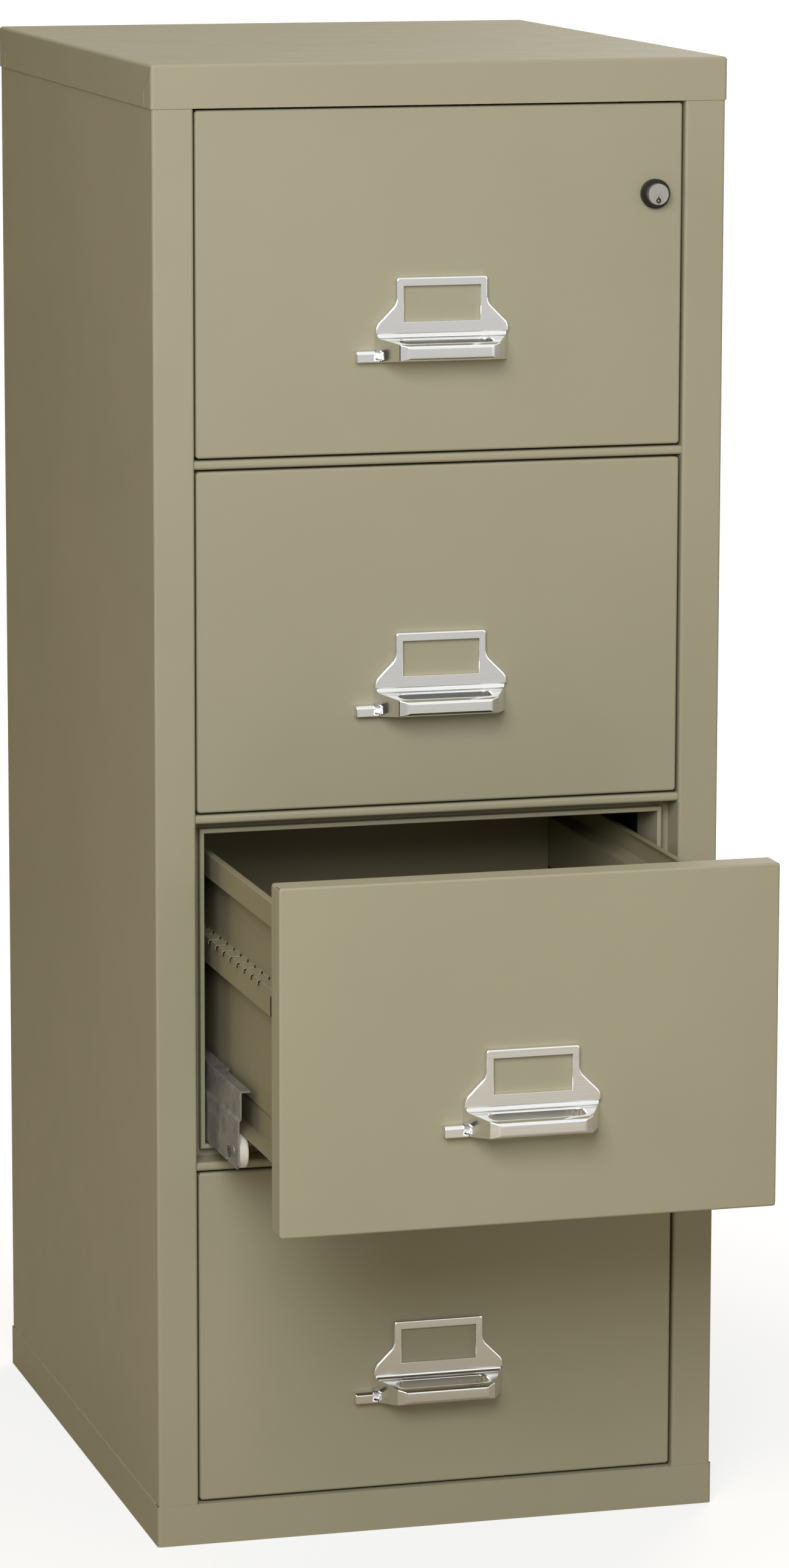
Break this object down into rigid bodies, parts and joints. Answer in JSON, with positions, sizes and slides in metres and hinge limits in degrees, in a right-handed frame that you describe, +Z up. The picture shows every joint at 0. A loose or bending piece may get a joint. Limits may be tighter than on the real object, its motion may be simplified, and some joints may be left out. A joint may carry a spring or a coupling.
{
  "type": "fireproof filing cabinet",
  "caption": "Free-standing insulated steel filing cabinet with stacked legal-size drawers on telescoping roller slides, finger-loop handles, thumb latches and a push lock.",
  "frame": {"origin": "centre of the base's footprint, on the floor", "axes": "+Z up, +X to the right seen from the front, +Y to the back; the drawers open towards -Y"},
  "size_m": [0.5286, 0.9579, 1.3398],
  "materials": {
    "beige_paint": "satin beige enamel",
    "drawer_paint": "satin grey-beige enamel",
    "cast_insulation": "matt cast gypsum",
    "liner_steel": "dark primer",
    "zinc": "galvanised",
    "nylon": "natural nylon",
    "chrome_plate": "polished plate",
    "black_enamel": "gloss black",
    "brass_key_plug": "worn nickelled brass"
  },
  "bodies": {
    "cabinet": {"side_panel_left": "beige_paint", "side_panel_right": "beige_paint", "back_panel": "beige_paint", "top_cap": "beige_paint", "base_plinth": "beige_paint", "front_frame": "beige_paint", "divider_rails": "beige_paint", "insulation_sides": "cast_insulation", "insulation_back": "cast_insulation", "insulation_shelves": "cast_insulation", "liners": "liner_steel", "cabinet_rails": "zinc", "rail_glides": "nylon", "lock_bar_guides": "zinc"},
    "drawer_1": {"front_panel_1": "beige_paint", "front_core_1": "cast_insulation", "inner_panel_1": "beige_paint", "drawer_body_1": "drawer_paint", "handle_1": "chrome_plate", "lock_collar": "black_enamel"},
    "slides_1": {"slides_1": "zinc"},
    "front_rollers_1": {"front_rollers_1": "nylon"},
    "rear_rollers_1": {"rear_rollers_1": "nylon"},
    "tail_rollers_1": {"tail_rollers_1": "nylon"},
    "thumb_latch_1": {"thumb_latch_1": "chrome_plate"},
    "drawer_2": {"front_panel_2": "beige_paint", "front_core_2": "cast_insulation", "inner_panel_2": "beige_paint", "drawer_body_2": "drawer_paint", "handle_2": "chrome_plate"},
    "slides_2": {"slides_2": "zinc"},
    "front_rollers_2": {"front_rollers_2": "nylon"},
    "rear_rollers_2": {"rear_rollers_2": "nylon"},
    "tail_rollers_2": {"tail_rollers_2": "nylon"},
    "thumb_latch_2": {"thumb_latch_2": "chrome_plate"},
    "drawer_3": {"front_panel_3": "beige_paint", "front_core_3": "cast_insulation", "inner_panel_3": "beige_paint", "drawer_body_3": "drawer_paint", "handle_3": "chrome_plate"},
    "slides_3": {"slides_3": "zinc"},
    "front_rollers_3": {"front_rollers_3": "nylon"},
    "rear_rollers_3": {"rear_rollers_3": "nylon"},
    "tail_rollers_3": {"tail_rollers_3": "nylon"},
    "thumb_latch_3": {"thumb_latch_3": "chrome_plate"},
    "drawer_4": {"front_panel_4": "beige_paint", "front_core_4": "cast_insulation", "inner_panel_4": "beige_paint", "drawer_body_4": "drawer_paint", "handle_4": "chrome_plate"},
    "slides_4": {"slides_4": "zinc"},
    "front_rollers_4": {"front_rollers_4": "nylon"},
    "rear_rollers_4": {"rear_rollers_4": "nylon"},
    "tail_rollers_4": {"tail_rollers_4": "nylon"},
    "thumb_latch_4": {"thumb_latch_4": "chrome_plate"},
    "lock_plunger": {"lock_plunger": "chrome_plate"},
    "lock_plug": {"lock_plug": "brass_key_plug"},
    "lock_bar": {"lock_bar": "zinc"}
  },
  "joints": [
    {"name": "drawer_1_slide", "type": "slide", "parent": "cabinet", "child": "drawer_1", "axis": [0, -1, 0], "range_m": [0, 0.5]},
    {"name": "slides_1_slide", "type": "slide", "parent": "cabinet", "child": "slides_1", "axis": [0, -1, 0], "range_m": [0, 0.25]},
    {"name": "front_rollers_1_spin", "type": "hinge", "parent": "slides_1", "child": "front_rollers_1", "pos_m": [0, -0.247, 1.02079], "axis": [1, 0, 0], "range_deg": [0, 929.1]},
    {"name": "rear_rollers_1_spin", "type": "hinge", "parent": "slides_1", "child": "rear_rollers_1", "pos_m": [0, 0.241, 1.06679], "axis": [1, 0, 0], "range_deg": [0, 1307.2]},
    {"name": "tail_rollers_1_spin", "type": "hinge", "parent": "drawer_1", "child": "tail_rollers_1", "pos_m": [0, 0.24, 1.06549], "axis": [1, 0, 0], "range_deg": [-1307.2, 0]},
    {"name": "thumb_latch_1_slide", "type": "slide", "parent": "drawer_1", "child": "thumb_latch_1", "axis": [-1, 0, 0], "range_m": [0, 0.008], "stiffness_N_per_m": 400, "springref_m": -0.002},
    {"name": "drawer_2_slide", "type": "slide", "parent": "cabinet", "child": "drawer_2", "axis": [0, -1, 0], "range_m": [0, 0.5]},
    {"name": "slides_2_slide", "type": "slide", "parent": "cabinet", "child": "slides_2", "axis": [0, -1, 0], "range_m": [0, 0.25]},
    {"name": "front_rollers_2_spin", "type": "hinge", "parent": "slides_2", "child": "front_rollers_2", "pos_m": [0, -0.247, 0.70293], "axis": [1, 0, 0], "range_deg": [0, 929.1]},
    {"name": "rear_rollers_2_spin", "type": "hinge", "parent": "slides_2", "child": "rear_rollers_2", "pos_m": [0, 0.241, 0.74892], "axis": [1, 0, 0], "range_deg": [0, 1307.2]},
    {"name": "tail_rollers_2_spin", "type": "hinge", "parent": "drawer_2", "child": "tail_rollers_2", "pos_m": [0, 0.24, 0.74762], "axis": [1, 0, 0], "range_deg": [-1307.2, 0]},
    {"name": "thumb_latch_2_slide", "type": "slide", "parent": "drawer_2", "child": "thumb_latch_2", "axis": [-1, 0, 0], "range_m": [0, 0.008], "stiffness_N_per_m": 400, "springref_m": -0.002},
    {"name": "drawer_3_slide", "type": "slide", "parent": "cabinet", "child": "drawer_3", "axis": [0, -1, 0], "range_m": [-0.29, 0.21]},
    {"name": "slides_3_slide", "type": "slide", "parent": "cabinet", "child": "slides_3", "axis": [0, -1, 0], "range_m": [-0.145, 0.105]},
    {"name": "front_rollers_3_spin", "type": "hinge", "parent": "slides_3", "child": "front_rollers_3", "pos_m": [0, -0.392, 0.38506], "axis": [1, 0, 0], "range_deg": [-541, 393.1]},
    {"name": "rear_rollers_3_spin", "type": "hinge", "parent": "slides_3", "child": "rear_rollers_3", "pos_m": [0, 0.096, 0.43106], "axis": [1, 0, 0], "range_deg": [-760.3, 551.9]},
    {"name": "tail_rollers_3_spin", "type": "hinge", "parent": "drawer_3", "child": "tail_rollers_3", "pos_m": [0, -0.05, 0.42976], "axis": [1, 0, 0], "range_deg": [-551.9, 760.3]},
    {"name": "thumb_latch_3_slide", "type": "slide", "parent": "drawer_3", "child": "thumb_latch_3", "axis": [-1, 0, 0], "range_m": [0, 0.008], "stiffness_N_per_m": 400, "springref_m": -0.002},
    {"name": "drawer_4_slide", "type": "slide", "parent": "cabinet", "child": "drawer_4", "axis": [0, -1, 0], "range_m": [0, 0.5]},
    {"name": "slides_4_slide", "type": "slide", "parent": "cabinet", "child": "slides_4", "axis": [0, -1, 0], "range_m": [0, 0.25]},
    {"name": "front_rollers_4_spin", "type": "hinge", "parent": "slides_4", "child": "front_rollers_4", "pos_m": [0, -0.247, 0.0672], "axis": [1, 0, 0], "range_deg": [0, 929.1]},
    {"name": "rear_rollers_4_spin", "type": "hinge", "parent": "slides_4", "child": "rear_rollers_4", "pos_m": [0, 0.241, 0.1132], "axis": [1, 0, 0], "range_deg": [0, 1307.2]},
    {"name": "tail_rollers_4_spin", "type": "hinge", "parent": "drawer_4", "child": "tail_rollers_4", "pos_m": [0, 0.24, 0.1119], "axis": [1, 0, 0], "range_deg": [-1307.2, 0]},
    {"name": "thumb_latch_4_slide", "type": "slide", "parent": "drawer_4", "child": "thumb_latch_4", "axis": [-1, 0, 0], "range_m": [0, 0.008], "stiffness_N_per_m": 400, "springref_m": -0.002},
    {"name": "lock_plunger_push", "type": "slide", "parent": "drawer_1", "child": "lock_plunger", "axis": [0, 1, 0], "range_m": [0, 0.007], "stiffness_N_per_m": 500, "springref_m": -0.004},
    {"name": "lock_plug_turn", "type": "hinge", "parent": "lock_plunger", "child": "lock_plug", "pos_m": [0.198, -0.3271, 1.21475], "axis": [0, 1, 0], "range_deg": [0, 90]},
    {"name": "lock_bar_drop", "type": "slide", "parent": "cabinet", "child": "lock_bar", "axis": [0, 0, -1], "range_m": [0, 0.007]}
  ],
  "couplings": [
    {"joint": "slides_1_slide", "follows": "drawer_1_slide", "ratio": 0.5},
    {"joint": "front_rollers_1_spin", "follows": "drawer_1_slide", "rad_per_m": 32.258},
    {"joint": "rear_rollers_1_spin", "follows": "drawer_1_slide", "rad_per_m": 45.455},
    {"joint": "tail_rollers_1_spin", "follows": "drawer_1_slide", "rad_per_m": -45.455},
    {"joint": "slides_2_slide", "follows": "drawer_2_slide", "ratio": 0.5},
    {"joint": "front_rollers_2_spin", "follows": "drawer_2_slide", "rad_per_m": 32.258},
    {"joint": "rear_rollers_2_spin", "follows": "drawer_2_slide", "rad_per_m": 45.455},
    {"joint": "tail_rollers_2_spin", "follows": "drawer_2_slide", "rad_per_m": -45.455},
    {"joint": "slides_3_slide", "follows": "drawer_3_slide", "ratio": 0.5},
    {"joint": "front_rollers_3_spin", "follows": "drawer_3_slide", "rad_per_m": 32.258},
    {"joint": "rear_rollers_3_spin", "follows": "drawer_3_slide", "rad_per_m": 45.455},
    {"joint": "tail_rollers_3_spin", "follows": "drawer_3_slide", "rad_per_m": -45.455},
    {"joint": "slides_4_slide", "follows": "drawer_4_slide", "ratio": 0.5},
    {"joint": "front_rollers_4_spin", "follows": "drawer_4_slide", "rad_per_m": 32.258},
    {"joint": "rear_rollers_4_spin", "follows": "drawer_4_slide", "rad_per_m": 45.455},
    {"joint": "tail_rollers_4_spin", "follows": "drawer_4_slide", "rad_per_m": -45.455},
    {"joint": "lock_bar_drop", "follows": "lock_plunger_push", "ratio": 1}
  ]
}
